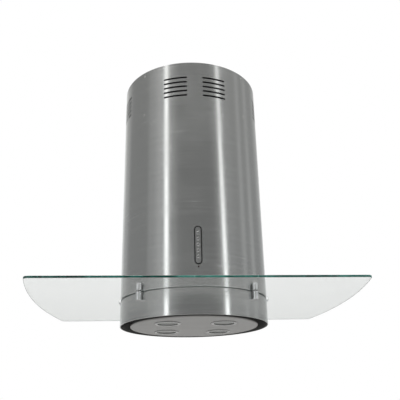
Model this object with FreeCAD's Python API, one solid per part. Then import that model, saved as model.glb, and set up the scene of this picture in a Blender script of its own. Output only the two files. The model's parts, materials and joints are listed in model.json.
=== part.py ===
import FreeCAD, Part

import math
import os

from FreeCAD import Vector

# Island range hood: a brushed steel cylinder that hangs from the ceiling and passes through a flat
# glass canopy.  All lengths are millimetres.  The origin is the centre of the ceiling plate's upper
# face, +Z is up, -Y is the front with the push buttons, and +X is the right of a person facing it.

# --- driving dimensions -------------------------------------------------------------------------
HOOD_H = 750.0              # ceiling to the casing's lower rim
CASING_R = 210.0
CASING_WALL = 1.2
CASING_TOP_GAP = 1.0        # casing stops this far below the ceiling
HEM_H = 10.0                # folded hem at the lower rim

GLASS_W = 898.0
GLASS_D = 610.0
GLASS_T = 6.0
GLASS_END_BOW = 30.0        # how far each end bows out between its corners
GLASS_CORNER_R = 15.0
GLASS_ABOVE_RIM = 70.0      # underside of the glass above the rim
GLASS_HOLE_GAP = 4.0
GLASS_BEVEL = 0.8

VENT_ROWS = 5
VENT_PITCH = 15.1
VENT_SLOT_H = 5.6
VENT_INNER_DEG = 6.2        # each slot runs between these two angles from its side's middle
VENT_OUTER_DEG = 25.6
VENT_LOW_ABOVE_RIM = 637.0  # centre of the lowest row

SCREW_HEIGHTS = (735.0, 600.0)      # casing screws above the rim
SCREW_HEAD_R = 3.0
CORNER_ANGLES = (-135, -45, 45, 135)  # legs, casing screws and glass clamps
CORNER_NAMES = ("rear_left", "front_left", "front_right", "rear_right")

CLAMP_R = 8.0
CLAMP_AXIS_R = 217.5
CLAMP_LOW, CLAMP_HIGH = 48.0, 95.0  # above the rim
CLAMP_PAD = 0.8             # gasket between glass and clamp
CLAMP_BOLT_HEIGHTS = (59.0, 86.0)

STRIP_W, STRIP_H = 21.0, 105.0      # control bezel, outside
STRIP_ABOVE_RIM = 180.5             # its centre
BEZEL_LIP = 3.0
BUTTON_R = 5.0
BUTTON_PITCH = 16.1
BUTTON_TRAVEL = 1.0
SWITCH_GAP = 0.4            # left between a pressed button's stem and its switch
BUTTON_NAMES = ("timer", "fast", "medium", "slow", "light")
INDICATOR_ABOVE_RIM = 122.0
INDICATOR_R = 2.0

LEG_W, LEG_DEPTH, LEG_T = 30.0, 16.5, 2.0
LEG_OUT_R = 204.5           # web's outer face from the axis

PLATE_T = 2.5               # ceiling plate
PLATE_R = 208.0
PLATE_SKIRT_H = 25.0
PLATE_DUCT_R = 79.0         # leaves room for the duct, which goes over the collar
PLATE_NECK_H = 30.0         # drawn neck that hangs down round the duct hole
PLATE_BOLT_PCD = 300.0
PLATE_BOLT_R = 4.0

GLAND_Y = 150.0
GLAND_BORE_R = 4.5

BLOWER_DECK_Z = -262.0      # underside
DECK_T = 2.0
DECK_R = 206.5
WIRE_HOLE_R = 9.0
BLOWER_WIRE_HOLE = (120.0, -40.0)
FILTER_WIRE_HOLE = (-160.0, -60.0)

COLLAR_R = 74.5             # duct collar, outside: it runs up to the ceiling plate
COLLAR_WALL = 1.5
COLLAR_TOP_Z = -2.0
COLLAR_STOP_Z = -50.0       # bead that the duct stops at
FLAP_Z = -238.3             # underside of the closed damper flaps
FLAP_T = 1.0
FLAP_R = 71.8
FLAP_PIN_X = 5.0
FLAP_PIN_R = 1.5
FLAP_SLEEVE_R = 2.6

WHEEL_R = 75.0              # blower wheel
WHEEL_INNER_R = 62.0
WHEEL_HALF_W = 44.0
WHEEL_BLADES = 36
SHAFT_R = 4.0
BLOWER_X, BLOWER_Z = 75.5, -380.0
SCROLL_R1 = 88.0            # first quarter of the scroll, and how much each quarter gains
SCROLL_STEP = 14.0
SCROLL_HALF_W = 50.0
SCROLL_T = 1.5
SCROLL_TONGUE_X = 28.0      # outlet's inner wall, left of the wheel's axis
SCROLL_FLANGE = 9.0
MOTOR_R = 40.0
BRACKET_Y = 55.5

FILTER_DECK_Z = -700.0      # underside
FILTER_DECK_T = 1.5
FILTER_HOLE_R = 152.0
FILTER_R = 158.0
FILTER_LOW_Z, FILTER_HIGH_Z = -711.0, -701.0
MESH_LAYERS, MESH_PITCH, MESH_T = 3, 3.1, 0.6
LATCH_TRAVEL = 7.0          # the latch's nose leaves its hook with this much inward travel

PANEL_R = 181.0
PANEL_Z = -751.5            # underside, just below the rim
PANEL_H = 10.0
PANEL_T = 1.2
COVER_R = 150.0
COVER_TOP_Z = -722.0
HINGE_Y, HINGE_Z = 168.0, -736.0
HINGE_X = 32.0
HINGE_PIN_R = 2.0
CATCH_X, CATCH_Y = 45.0, -165.0
CATCH_FACE_Z = -724.0

LAMP_PITCH_R = 109.0
LAMP_R = 36.0
LAMP_RING_PROUD = 2.0

RUN_CLEARANCE = 0.06        # shaft in hole
MOVE_CLEARANCE = 0.3        # between other faces that move past each other

RIM_Z = -HOOD_H
CASING_INNER_R = CASING_R - CASING_WALL
GLASS_Z = RIM_Z + GLASS_ABOVE_RIM

nodes = {}
frame_screws = []           # every screw inside the casing: glass clamps, blower and its deck


# --- helpers ------------------------------------------------------------------------------------
def box(x, y, z):
    """Block between the (low, high) pairs x, y and z."""
    size = (x[1] - x[0], y[1] - y[0], z[1] - z[0])
    return Part.makeBox(*size, Vector(x[0], y[0], z[0]))


def disc(radius, low, high, x=0.0, y=0.0):
    return Part.makeCylinder(radius, high - low, Vector(x, y, low))


def ring(outer, inner, low, high, x=0.0, y=0.0):
    return disc(outer, low, high, x, y).cut(disc(inner, low - 1, high + 1, x, y))


def rod_y(radius, low, high, x=0.0, z=0.0):
    """Cylinder along Y."""
    return Part.makeCylinder(radius, high - low, Vector(x, low, z), Vector(0, 1, 0))


def rod_x(radius, low, high, y=0.0, z=0.0):
    """Cylinder along X."""
    return Part.makeCylinder(radius, high - low, Vector(low, y, z), Vector(1, 0, 0))


def around(shape, degrees):
    """Turns a piece built at the front (-Y) about the hood's axis, towards the right (+X)."""
    copy = shape.copy()
    copy.rotate(Vector(0, 0, 0), Vector(0, 0, 1), degrees)
    return copy


def moved(shape, x=0.0, y=0.0, z=0.0):
    copy = shape.copy()
    copy.translate(Vector(x, y, z))
    return copy


def joined(shapes):
    """One solid from touching or overlapping solids."""
    first, *rest = shapes
    return first.multiFuse(rest).removeSplitter() if rest else first


def cut_all(shape, tools):
    return shape.cut(Part.makeCompound(tools))


def turned(profile):
    """Solid of revolution about Z from (radius, height) points."""
    points = [Vector(radius, 0, height) for radius, height in profile]
    face = Part.Face(Part.makePolygon(points + points[:1]))
    return face.revolve(Vector(0, 0, 0), Vector(0, 0, 1), 360)


def stadium(width, height, y_low, y_high, middle_z):
    """Upright slot shape with round ends, seen from the front."""
    radius = width / 2
    half = height / 2 - radius
    middle = box((-radius, radius), (y_low, y_high), (middle_z - half, middle_z + half))
    ends = [rod_y(radius, y_low, y_high, 0, middle_z + side * half) for side in (-1, 1)]
    return joined([middle] + ends)


def edges_at_height(shape, height):
    """Edges that lie wholly at this Z."""
    flat = []
    for edge in shape.Edges:
        bounds = edge.BoundBox
        if abs(bounds.ZMin - height) < 1e-4 and abs(bounds.ZMax - height) < 1e-4:
            flat.append(edge)
    return flat


def on_circle(radius, degrees):
    """(x, y) at this angle from the front, positive to the right."""
    angle = math.radians(degrees)
    return radius * math.sin(angle), -radius * math.cos(angle)


# --- ceiling plate, legs and decks --------------------------------------------------------------
def leg(clearance=0.0):
    """Upright channel at the front, its web towards the casing and its flanges inward."""
    half = LEG_W / 2 + clearance
    low, high = FILTER_DECK_Z + FILTER_DECK_T, -PLATE_T
    outside = -LEG_OUT_R - clearance
    inside = -LEG_OUT_R + LEG_DEPTH + clearance
    body = box((-half, half), (outside, inside), (low, high))
    hollow_half = LEG_W / 2 - LEG_T - clearance
    hollow = box(
        (-hollow_half, hollow_half),
        (-LEG_OUT_R + LEG_T + clearance, inside + 1),
        (low - 1, high + 1),
    )
    return body.cut(hollow)


def radial_hole(radius, height, inner=195.0, outer=230.0):
    """Cutter along the front radius at this height above the rim."""
    return rod_y(radius, -outer, -inner, 0, RIM_Z + height)


def make_frame():
    skirt = ring(PLATE_R, PLATE_R - CASING_WALL, -PLATE_SKIRT_H, -PLATE_T / 2)
    neck = ring(PLATE_DUCT_R + CASING_WALL, PLATE_DUCT_R, -PLATE_NECK_H, -PLATE_T / 2)
    plate = joined([disc(PLATE_R, -PLATE_T, 0), skirt, neck])
    cuts = [disc(PLATE_DUCT_R, -10, 10), disc(8.1, -10, 10, 0, GLAND_Y)]
    for angle in CORNER_ANGLES:
        cuts.append(disc(PLATE_BOLT_R, -10, 10, *on_circle(PLATE_BOLT_PCD / 2, angle)))
        cuts.append(around(radial_hole(2.2, SCREW_HEIGHTS[0]), angle))
    nodes["ceiling_plate"] = cut_all(plate, cuts)

    holes = [radial_hole(2.2, height) for height in SCREW_HEIGHTS + CLAMP_BOLT_HEIGHTS]
    deck_screw_z = BLOWER_DECK_Z - 10
    holes.append(radial_hole(2.2, deck_screw_z - RIM_Z))
    one_leg = cut_all(leg(), holes)
    legs = [around(one_leg, angle) for angle in CORNER_ANGLES]
    nodes["frame_legs"] = Part.makeCompound(legs)

    deck = disc(DECK_R, BLOWER_DECK_Z, BLOWER_DECK_Z + DECK_T)
    tab_half = LEG_W / 2 - LEG_T - 0.5
    tab_out = -LEG_OUT_R + LEG_T
    tab = box((-tab_half, tab_half), (tab_out, tab_out + 2), (BLOWER_DECK_Z - 20, BLOWER_DECK_Z + DECK_T))
    tab_hole = radial_hole(2.2, deck_screw_z - RIM_Z)
    beyond = box((-LEG_W, LEG_W), (-DECK_R - 1, tab_out), (BLOWER_DECK_Z - 30, BLOWER_DECK_Z + 5))
    cuts = []
    for angle in CORNER_ANGLES:
        cuts += [around(leg(MOVE_CLEARANCE), angle), around(beyond, angle)]
    outlet = (BLOWER_X - scroll_left(), BLOWER_X - SCROLL_TONGUE_X)
    cuts.append(box(outlet, (-SCROLL_HALF_W, SCROLL_HALF_W), (BLOWER_DECK_Z - 1, BLOWER_DECK_Z + 3)))
    cuts.append(disc(WIRE_HOLE_R, BLOWER_DECK_Z - 1, BLOWER_DECK_Z + 3, *BLOWER_WIRE_HOLE))
    for x, y in mouth_screw_points():
        cuts.append(disc(2.2, BLOWER_DECK_Z - 1, BLOWER_DECK_Z + 3, x, y))
    deck = cut_all(deck, cuts)
    tabs = [around(tab.cut(tab_hole), angle) for angle in CORNER_ANGLES]
    nodes["blower_deck"] = joined([deck] + tabs)

    screws = []
    for angle in CORNER_ANGLES:
        screws.append(around(inner_screw(deck_screw_z, -LEG_OUT_R + LEG_T + 2, 7.0), angle))
    frame_screws.extend(screws)

    body = turned([(4.5, -25), (8, -25), (10.5, -23), (10.5, -12), (12, -10), (12, -PLATE_T - 0.02),
                   (8, -PLATE_T - 0.02), (8, 0), (GLAND_BORE_R, 0)])
    nodes["cable_gland"] = moved(body, 0, GLAND_Y)


def inner_screw(z, head_face_y, length):
    """Screw driven outward from inside the casing, at the front: its head bears on head_face_y."""
    head = rod_y(3.8, head_face_y, head_face_y + 2.6, 0, z)
    recess = rod_y(1.5, head_face_y + 1.2, head_face_y + 3, 0, z)
    shank = rod_y(1.95, head_face_y - length, head_face_y, 0, z)
    return joined([head.cut(recess), shank])


# --- casing -------------------------------------------------------------------------------------
def vent_slot(height):
    """Cutter for one slot at the front, between the two vent angles."""
    middle = (VENT_INNER_DEG + VENT_OUTER_DEG) / 2
    half = CASING_R * math.sin(math.radians((VENT_OUTER_DEG - VENT_INNER_DEG) / 2))
    radius = VENT_SLOT_H / 2
    z = RIM_Z + height
    span = box((-half + radius, half - radius), (-CASING_R - 5, -150), (z - radius, z + radius))
    ends = [rod_y(radius, -CASING_R - 5, -150, side * (half - radius), z) for side in (-1, 1)]
    return joined([span] + ends), middle


def make_casing():
    top = -CASING_TOP_GAP
    wall = ring(CASING_R, CASING_INNER_R, RIM_Z, top)
    hem = ring(CASING_INNER_R, CASING_INNER_R - CASING_WALL, RIM_Z, RIM_Z + HEM_H)
    tube = joined([wall, hem])
    tube = tube.makeFillet(0.5, edges_at_height(tube, RIM_Z))
    cuts = []
    for row in range(VENT_ROWS):
        slot, middle = vent_slot(VENT_LOW_ABOVE_RIM + row * VENT_PITCH)
        for side in (0, 90, 180, 270):
            cuts += [around(slot, side - middle), around(slot, side + middle)]
    for angle in CORNER_ANGLES:
        for height in SCREW_HEIGHTS + CLAMP_BOLT_HEIGHTS:
            cuts.append(around(radial_hole(2.2, height), angle))
    z = RIM_Z + STRIP_ABOVE_RIM
    cuts.append(stadium(STRIP_W - 3, STRIP_H - 3, -CASING_R - 5, -195, z))
    cuts.append(radial_hole(INDICATOR_R + 0.1, INDICATOR_ABOVE_RIM))
    seam_depth = 0.4
    cuts.append(box((-0.5, 0.5), (CASING_R - seam_depth, CASING_R + 1), (RIM_Z - 1, 1)))
    nodes["casing_tube"] = cut_all(tube, cuts)

    seat_y = -CASING_R
    crown_y = seat_y - 0.8
    head = rod_y(SCREW_HEAD_R, crown_y, seat_y)
    crown = Part.makeCone(SCREW_HEAD_R, SCREW_HEAD_R - 1, 0.8, Vector(0, crown_y, 0), Vector(0, -1, 0))
    cross = [
        box((-1.6, 1.6), (crown_y - 1, crown_y), (-0.4, 0.4)),
        box((-0.4, 0.4), (crown_y - 1, crown_y), (-1.6, 1.6)),
    ]
    shank = rod_y(1.95, seat_y, -LEG_OUT_R + 5)
    screw = joined([cut_all(joined([head, crown]), cross), shank])
    screws = []
    for angle in CORNER_ANGLES:
        for height in SCREW_HEIGHTS:
            screws.append(around(moved(screw, z=RIM_Z + height), angle))
    nodes["casing_screws"] = Part.makeCompound(screws)


# --- glass canopy and its clamps ----------------------------------------------------------------
def make_canopy():
    half_w, half_d = GLASS_W / 2, GLASS_D / 2
    corner_x = half_w - GLASS_END_BOW
    corners = {
        (side, end): Vector(side * corner_x, end * half_d, GLASS_Z) for side in (-1, 1) for end in (-1, 1)
    }
    front = Part.LineSegment(corners[-1, -1], corners[1, -1]).toShape()
    right = Part.Arc(corners[1, -1], Vector(half_w, 0, GLASS_Z), corners[1, 1]).toShape()
    back = Part.LineSegment(corners[1, 1], corners[-1, 1]).toShape()
    left = Part.Arc(corners[-1, 1], Vector(-half_w, 0, GLASS_Z), corners[-1, -1]).toShape()
    pane = Part.Face(Part.Wire([front, right, back, left])).extrude(Vector(0, 0, GLASS_T))
    upright = [e for e in pane.Edges if abs(e.BoundBox.ZMax - e.BoundBox.ZMin - GLASS_T) < 1e-4]
    pane = pane.makeFillet(GLASS_CORNER_R, upright)
    hole_r = CASING_R + GLASS_HOLE_GAP
    pane = pane.cut(disc(hole_r, GLASS_Z - 1, GLASS_Z + GLASS_T + 1))
    rims = edges_at_height(pane, GLASS_Z) + edges_at_height(pane, GLASS_Z + GLASS_T)
    nodes["glass_canopy"] = pane.makeChamfer(GLASS_BEVEL, rims)

    low, high = RIM_Z + CLAMP_LOW, RIM_Z + CLAMP_HIGH
    pin = disc(CLAMP_R, low, high, 0, -CLAMP_AXIS_R)
    pin = pin.makeFillet(0.8, edges_at_height(pin, low) + edges_at_height(pin, high))
    slot_low, slot_high = GLASS_Z - CLAMP_PAD, GLASS_Z + GLASS_T + CLAMP_PAD
    slot_back = -(CASING_R + GLASS_HOLE_GAP - CLAMP_PAD)
    slot = box((-20, 20), (-240, slot_back), (slot_low, slot_high))
    bolt_holes = [radial_hole(2.0, height, 200, 220) for height in CLAMP_BOLT_HEIGHTS]
    pin = cut_all(pin, [slot, disc(CASING_R + 0.02, low - 1, high + 1)] + bolt_holes)
    block = box((-6, 6), (-CLAMP_AXIS_R - 5, slot_back), (slot_low, slot_high))
    pad = block.cut(ring(CASING_R + 100, hole_r, GLASS_Z, GLASS_Z + GLASS_T))
    pads = []
    for angle, name in zip(CORNER_ANGLES, CORNER_NAMES):
        nodes["glass_clamp_" + name] = around(pin, angle)
        pads.append(around(pad, angle))
        for height in CLAMP_BOLT_HEIGHTS:
            frame_screws.append(around(inner_screw(RIM_Z + height, -LEG_OUT_R + LEG_T, 16.0), angle))
    nodes["clamp_gaskets"] = Part.makeCompound(pads)


# --- push-button strip --------------------------------------------------------------------------
def make_controls():
    z = RIM_Z + STRIP_ABOVE_RIM
    face_y = -CASING_R - 1.5
    plate_face = face_y + 0.7
    plate_back = plate_face + 1.2
    opening_w, opening_h = STRIP_W - 2 * BEZEL_LIP, STRIP_H - 2 * BEZEL_LIP
    body_w, body_h = STRIP_W - 3.4, STRIP_H - 3.4
    lip = stadium(STRIP_W, STRIP_H, face_y, -CASING_R, z)
    front_edges = [e for e in lip.Edges if abs(e.BoundBox.YMax - face_y) < 1e-4]
    lip = lip.makeFillet(0.8, front_edges)
    sleeve = stadium(body_w, body_h, -CASING_R, -204.5, z)
    window = stadium(opening_w, opening_h, face_y - 1, plate_back, z)
    throat = stadium(opening_w - 2.2, opening_h - 2.2, plate_back - 1, -200, z)
    nodes["control_bezel"] = joined([lip, sleeve]).cut(window).cut(throat)

    switch_face = -202.6
    button_heights = [z + (row - 2) * BUTTON_PITCH for row in range(len(BUTTON_NAMES))]
    plate = stadium(opening_w - 0.1, opening_h - 0.1, plate_face, plate_back, z)
    holes = [rod_y(BUTTON_R + MOVE_CLEARANCE, -220, -200, 0, height) for height in button_heights]
    nodes["control_strip"] = cut_all(plate, holes)

    cap_face = plate_face - 1.0
    cap = rod_y(BUTTON_R, cap_face, plate_back + 1, 0, 0)
    cap = cap.makeFillet(0.9, [e for e in cap.Edges if abs(e.BoundBox.YMax - cap_face) < 1e-4])
    dome = Part.makeSphere(14.0, Vector(0, cap_face + 14.0 - 0.7, 0))
    dome = dome.common(rod_y(BUTTON_R - 0.9, cap_face - 1, cap_face + 0.5, 0, 0))
    flange = rod_y(BUTTON_R + 1, plate_back + 0.1, plate_back + 1.3, 0, 0)
    stem = rod_y(2.0, plate_back + 1, switch_face - SWITCH_GAP - BUTTON_TRAVEL, 0, 0)
    button = joined([cap, dome, flange, stem])
    for name, height in zip(BUTTON_NAMES, button_heights):
        nodes["button_" + name] = moved(button, z=height)

    low, high = z - 66.0, z + 58.0
    housing = box((-14, 14), (-207.8, -190), (low, high))
    nodes["control_housing"] = housing.cut(box((-12, 12), (-209, -192), (low + 2, high - 2)))
    board = box((-11.5, 11.5), (-199.0, -197.4), (low + 4, high - 4))
    switches = []
    for height in button_heights:
        switches.append(box((-3, 3), (-202.0, -199.0), (height - 3, height + 3)))
        switches.append(rod_y(1.7, switch_face, -202.0, 0, height))
    chip = box((-5, 5), (-197.4, -195.4), (z - 10, z + 10))
    nodes["control_board"] = joined([board, chip] + switches)

    lens = rod_y(INDICATOR_R, -CASING_R - 0.6, -204.0, 0, 0)
    lens = lens.makeFillet(0.5, [e for e in lens.Edges if abs(e.BoundBox.YMax + CASING_R + 0.6) < 1e-4])
    collar = rod_y(3.2, -CASING_INNER_R + 0.3, -206.5, 0, 0)
    nodes["indicator_lens"] = moved(joined([lens, collar]), z=RIM_Z + INDICATOR_ABOVE_RIM)


# --- blower -------------------------------------------------------------------------------------
def scroll_left():
    """Distance from the wheel's axis to the outlet's outer wall."""
    return SCROLL_STEP / 2 + SCROLL_R1 + 2 * SCROLL_STEP


def scroll_quarters():
    """(centre x, centre z, radius, start angle) of each quarter arc, clockwise from the top."""
    half = SCROLL_STEP / 2
    return (
        (half, -half, SCROLL_R1, 90),
        (-half, -half, SCROLL_R1 + SCROLL_STEP, 0),
        (-half, half, SCROLL_R1 + 2 * SCROLL_STEP, -90),
    )


def scroll_block(offset, y_low, y_high, top):
    """Scroll outline, grown by offset, from y_low to y_high, its outlet running up to top."""
    edges = []
    for cx, cz, radius, start in scroll_quarters():
        points = []
        for degrees in (start, start - 45, start - 90):
            angle = math.radians(degrees)
            x = BLOWER_X + cx + (radius + offset) * math.cos(angle)
            z = BLOWER_Z + cz + (radius + offset) * math.sin(angle)
            points.append(Vector(x, y_low, z))
        edges.append(Part.Arc(*points).toShape())
    begin = edges[0].Vertexes[0].Point
    end = edges[-1].Vertexes[-1].Point
    tongue_x = BLOWER_X - SCROLL_TONGUE_X + offset
    corners = [
        end,
        Vector(end.x, y_low, top),
        Vector(tongue_x, y_low, top),
        Vector(tongue_x, y_low, begin.z),
        begin,
    ]
    for first, second in zip(corners, corners[1:]):
        edges.append(Part.LineSegment(first, second).toShape())
    return Part.Face(Part.Wire(edges)).extrude(Vector(0, y_high - y_low, 0))


def seam_screw_points():
    """Where screws join the housing's two halves, just outside the scroll."""
    places = []
    for cx, cz, radius, start in scroll_quarters():
        for degrees in (start - 40, start - 85):
            angle = math.radians(degrees)
            reach = radius + SCROLL_T + 4
            places.append((BLOWER_X + cx + reach * math.cos(angle), BLOWER_Z + cz + reach * math.sin(angle)))
    return places


def housing_half(side):
    """One half shell: side -1 is the front, +1 the rear."""
    outer_y = SCROLL_HALF_W + SCROLL_T

    def span(inner, outer):
        return sorted((side * inner, side * outer))

    top = BLOWER_DECK_Z
    shell = scroll_block(SCROLL_T, *span(0, outer_y), top)
    lip = scroll_block(SCROLL_FLANGE, *span(0, 2.5), top - 8)
    left, right = BLOWER_X - scroll_left(), BLOWER_X - SCROLL_TONGUE_X
    mouth = box((left - 12, right + 12), span(0, outer_y + 10), (top - 2, top))
    inlet_lip = rod_y(WHEEL_INNER_R + 3, *span(outer_y - 1, outer_y + 2.5), BLOWER_X, BLOWER_Z)
    body = joined([shell, lip, mouth, inlet_lip])
    cuts = [
        scroll_block(0, *span(-1, SCROLL_HALF_W), top + 1),
        rod_y(WHEEL_INNER_R, *span(0, 70), BLOWER_X, BLOWER_Z),
    ]
    for x, z in seam_screw_points():
        cuts.append(rod_y(1.7, *span(-1, 5), x, z))
    for x, y in mouth_screw_points():
        cuts.append(disc(2.2, top - 5, top + 1, x, y))
    if side > 0:
        for x, z in motor_mount_points():
            cuts.append(rod_y(2.2, *span(40, 60), x, z))
    return cut_all(body, cuts)


def mouth_screw_points():
    """Screws that hold the blower's mouth and the duct collar to the deck."""
    left, right = BLOWER_X - scroll_left() - 7, BLOWER_X - SCROLL_TONGUE_X + 7
    y = SCROLL_HALF_W + SCROLL_T + 5.5
    return [(left, -y), (left, y), (right, -y), (right, y)]


def motor_mount_points():
    places = []
    for degrees in (90, 210, 330):
        angle = math.radians(degrees)
        reach = WHEEL_INNER_R + 11
        places.append((BLOWER_X + reach * math.cos(angle), BLOWER_Z + reach * math.sin(angle)))
    return places


def make_wheel():
    """Double-inlet squirrel-cage wheel on a middle disc."""
    x, z = BLOWER_X, BLOWER_Z
    pieces = [rod_y(WHEEL_R, -1, 1, x, z), rod_y(11, -14, 5, x, z)]
    for side in (-1, 1):
        low, high = sorted((side * (WHEEL_HALF_W - 1.5), side * WHEEL_HALF_W))
        rim = rod_y(WHEEL_R, low, high, x, z).cut(rod_y(WHEEL_INNER_R + 1, low - 1, high + 1, x, z))
        pieces.append(rim)
    radial = WHEEL_R - WHEEL_INNER_R - 1
    blade_r = 14.0
    blade_middle_r = (WHEEL_R + WHEEL_INNER_R) / 2
    curve = rod_y(blade_r, -WHEEL_HALF_W, WHEEL_HALF_W).cut(
        rod_y(blade_r - 1.0, -WHEEL_HALF_W - 1, WHEEL_HALF_W + 1)
    )
    window = box((0, blade_r + 1), (-WHEEL_HALF_W - 1, WHEEL_HALF_W + 1), (-radial / 2, radial / 2))
    blade = curve.common(window)
    blade = moved(blade, -blade_r)
    blade.rotate(Vector(0, 0, 0), Vector(0, 1, 0), 70)
    blade = moved(blade, blade_middle_r)
    for number in range(WHEEL_BLADES):
        copy = blade.copy()
        copy.rotate(Vector(0, 0, 0), Vector(0, 1, 0), number * 360 / WHEEL_BLADES)
        pieces.append(moved(copy, x, 0, z))
    wheel = joined(pieces)
    limit = rod_y(WHEEL_R, -WHEEL_HALF_W, WHEEL_HALF_W, x, z)
    return wheel.common(limit).cut(rod_y(SHAFT_R, -30, 30, x, z))


def make_blower():
    x, z = BLOWER_X, BLOWER_Z
    nodes["blower_housing_front"] = housing_half(-1)
    nodes["blower_housing_rear"] = housing_half(1)
    screws = []
    for sx, sz in seam_screw_points():
        screws.append(joined([rod_y(1.6, -2.5, 6, sx, sz), rod_y(3.0, -4.6, -2.5, sx, sz)]))
    collar_face = BLOWER_DECK_Z + DECK_T + 2
    for sx, sy in mouth_screw_points():
        shank = disc(2.0, BLOWER_DECK_Z - 5, collar_face, sx, sy)
        screws.append(joined([shank, disc(3.8, collar_face, collar_face + 2.4, sx, sy)]))
    frame_screws.extend(screws)

    nodes["impeller"] = make_wheel()
    shaft = rod_y(SHAFT_R, -18, BRACKET_Y - 2, x, z)
    nut = rod_y(7, -18, -14, x, z)
    nodes["motor_shaft"] = joined([shaft, nut])

    can = rod_y(MOTOR_R, 10, BRACKET_Y, x, z)
    ends = [e for e in can.Edges if abs(e.BoundBox.YMax - e.BoundBox.YMin) < 1e-4]
    can = can.makeFillet(3.0, ends)
    nose = rod_y(14, 7, 12, x, z)
    slots = []
    for number in range(8):
        slot = box((25, 34), (8, 20), (-3, 3))
        slot.rotate(Vector(0, 0, 0), Vector(0, 1, 0), number * 45)
        slots.append(moved(slot, x, 0, z))
    bore = rod_y(SHAFT_R + RUN_CLEARANCE, 0, BRACKET_Y - 1, x, z)
    nodes["motor"] = cut_all(joined([can, nose]), slots + [bore])

    spider = [rod_y(28, BRACKET_Y, BRACKET_Y + 2, x, z)]
    screws_in = []
    for mx, mz in motor_mount_points():
        reach = math.hypot(mx - x, mz - z)
        arm = box((0, reach), (BRACKET_Y, BRACKET_Y + 2), (-8, 8))
        arm.rotate(Vector(0, 0, 0), Vector(0, 1, 0), -math.degrees(math.atan2(mz - z, mx - x)))
        spider.append(moved(arm, x, 0, z))
        spider.append(rod_y(8, BRACKET_Y, BRACKET_Y + 2, mx, mz))
        screws_in.append(rod_y(2.2, BRACKET_Y - 1, BRACKET_Y + 3, mx, mz))
    nodes["motor_bracket"] = cut_all(joined(spider), screws_in)
    bushes = []
    for mx, mz in motor_mount_points():
        low = SCROLL_HALF_W + SCROLL_T
        bushes.append(rod_y(7, low, BRACKET_Y, mx, mz).cut(rod_y(2.2, 40, 60, mx, mz)))
    nodes["motor_mounts"] = Part.makeCompound(bushes)

    guard_low = -(SCROLL_HALF_W + SCROLL_T + 4.5)
    guard_high = guard_low + 2.0
    wire = 1.2
    rings = []
    for radius in (20.0, 34.0, 48.0, WHEEL_INNER_R):
        outside = rod_y(radius + wire, guard_low, guard_high, x, z)
        rings.append(outside.cut(rod_y(radius - wire, guard_low - 1, guard_high + 1, x, z)))
    spokes = []
    for degrees in (0, 60, 120):
        spoke = box((-WHEEL_INNER_R, WHEEL_INNER_R), (guard_low, guard_high), (-wire, wire))
        spoke.rotate(Vector(0, 0, 0), Vector(0, 1, 0), degrees)
        spokes.append(moved(spoke, x, 0, z))
    nodes["inlet_guard"] = joined(rings + spokes)


# --- duct collar and damper ---------------------------------------------------------------------
def make_outlet():
    base = BLOWER_DECK_Z + DECK_T
    inner_r = COLLAR_R - COLLAR_WALL
    flange_half = 66.0
    left, right = BLOWER_X - scroll_left(), BLOWER_X - SCROLL_TONGUE_X
    middle = (left + right) / 2
    flange = box((middle - flange_half, middle + flange_half), (-flange_half, flange_half), (base, base + 2))
    tube = disc(COLLAR_R, base, COLLAR_TOP_Z, middle)
    bead = ring(COLLAR_R + 2.5, COLLAR_R - 1, COLLAR_STOP_Z, COLLAR_STOP_Z + 3, middle)
    body = joined([flange, tube, bead])
    hollow = [disc(inner_r, base + 2, COLLAR_TOP_Z + 1, middle)]
    hollow.append(box((left, right), (-SCROLL_HALF_W, SCROLL_HALF_W), (base - 1, base + 3)))
    screw_holes = [disc(2.2, base - 1, base + 4, sx, sy) for sx, sy in mouth_screw_points()]
    body = cut_all(body, hollow + screw_holes)
    ledge = ring(inner_r + 0.5, FLAP_R - 3, FLAP_Z - 2, FLAP_Z - 0.1, middle)
    bar = box((middle - 4.5, middle + 4.5), (-inner_r - 0.3, inner_r + 0.3), (FLAP_Z - 2.2, FLAP_Z - 0.6))
    body = joined([body, ledge, bar])

    pin_z = FLAP_Z + FLAP_SLEEVE_R - 0.3
    pins = []
    for side in (-1, 1):
        pin = rod_y(FLAP_PIN_R, -COLLAR_R - 1, COLLAR_R + 1, middle + side * FLAP_PIN_X, pin_z)
        body = body.cut(pin)
        pins.append(pin)
    nodes["outlet_collar"] = body
    nodes["damper_pins"] = Part.makeCompound(pins)

    for side, name in ((-1, "left"), (1, "right")):
        pin_x = middle + side * FLAP_PIN_X
        half = disc(FLAP_R, FLAP_Z, FLAP_Z + FLAP_T, middle)
        reach = sorted((pin_x, pin_x + side * 100))
        half = half.common(box(reach, (-100, 100), (FLAP_Z - 1, FLAP_Z + 3)))
        sleeve = rod_y(FLAP_SLEEVE_R, -58, 58, pin_x, pin_z)
        rib = box(sorted((pin_x + side * 2, middle + side * 60)), (-1, 1), (FLAP_Z, FLAP_Z + 3))
        flap = joined([half, sleeve, rib])
        nodes["damper_flap_" + name] = flap.cut(rod_y(FLAP_PIN_R + RUN_CLEARANCE, -80, 80, pin_x, pin_z))


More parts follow.
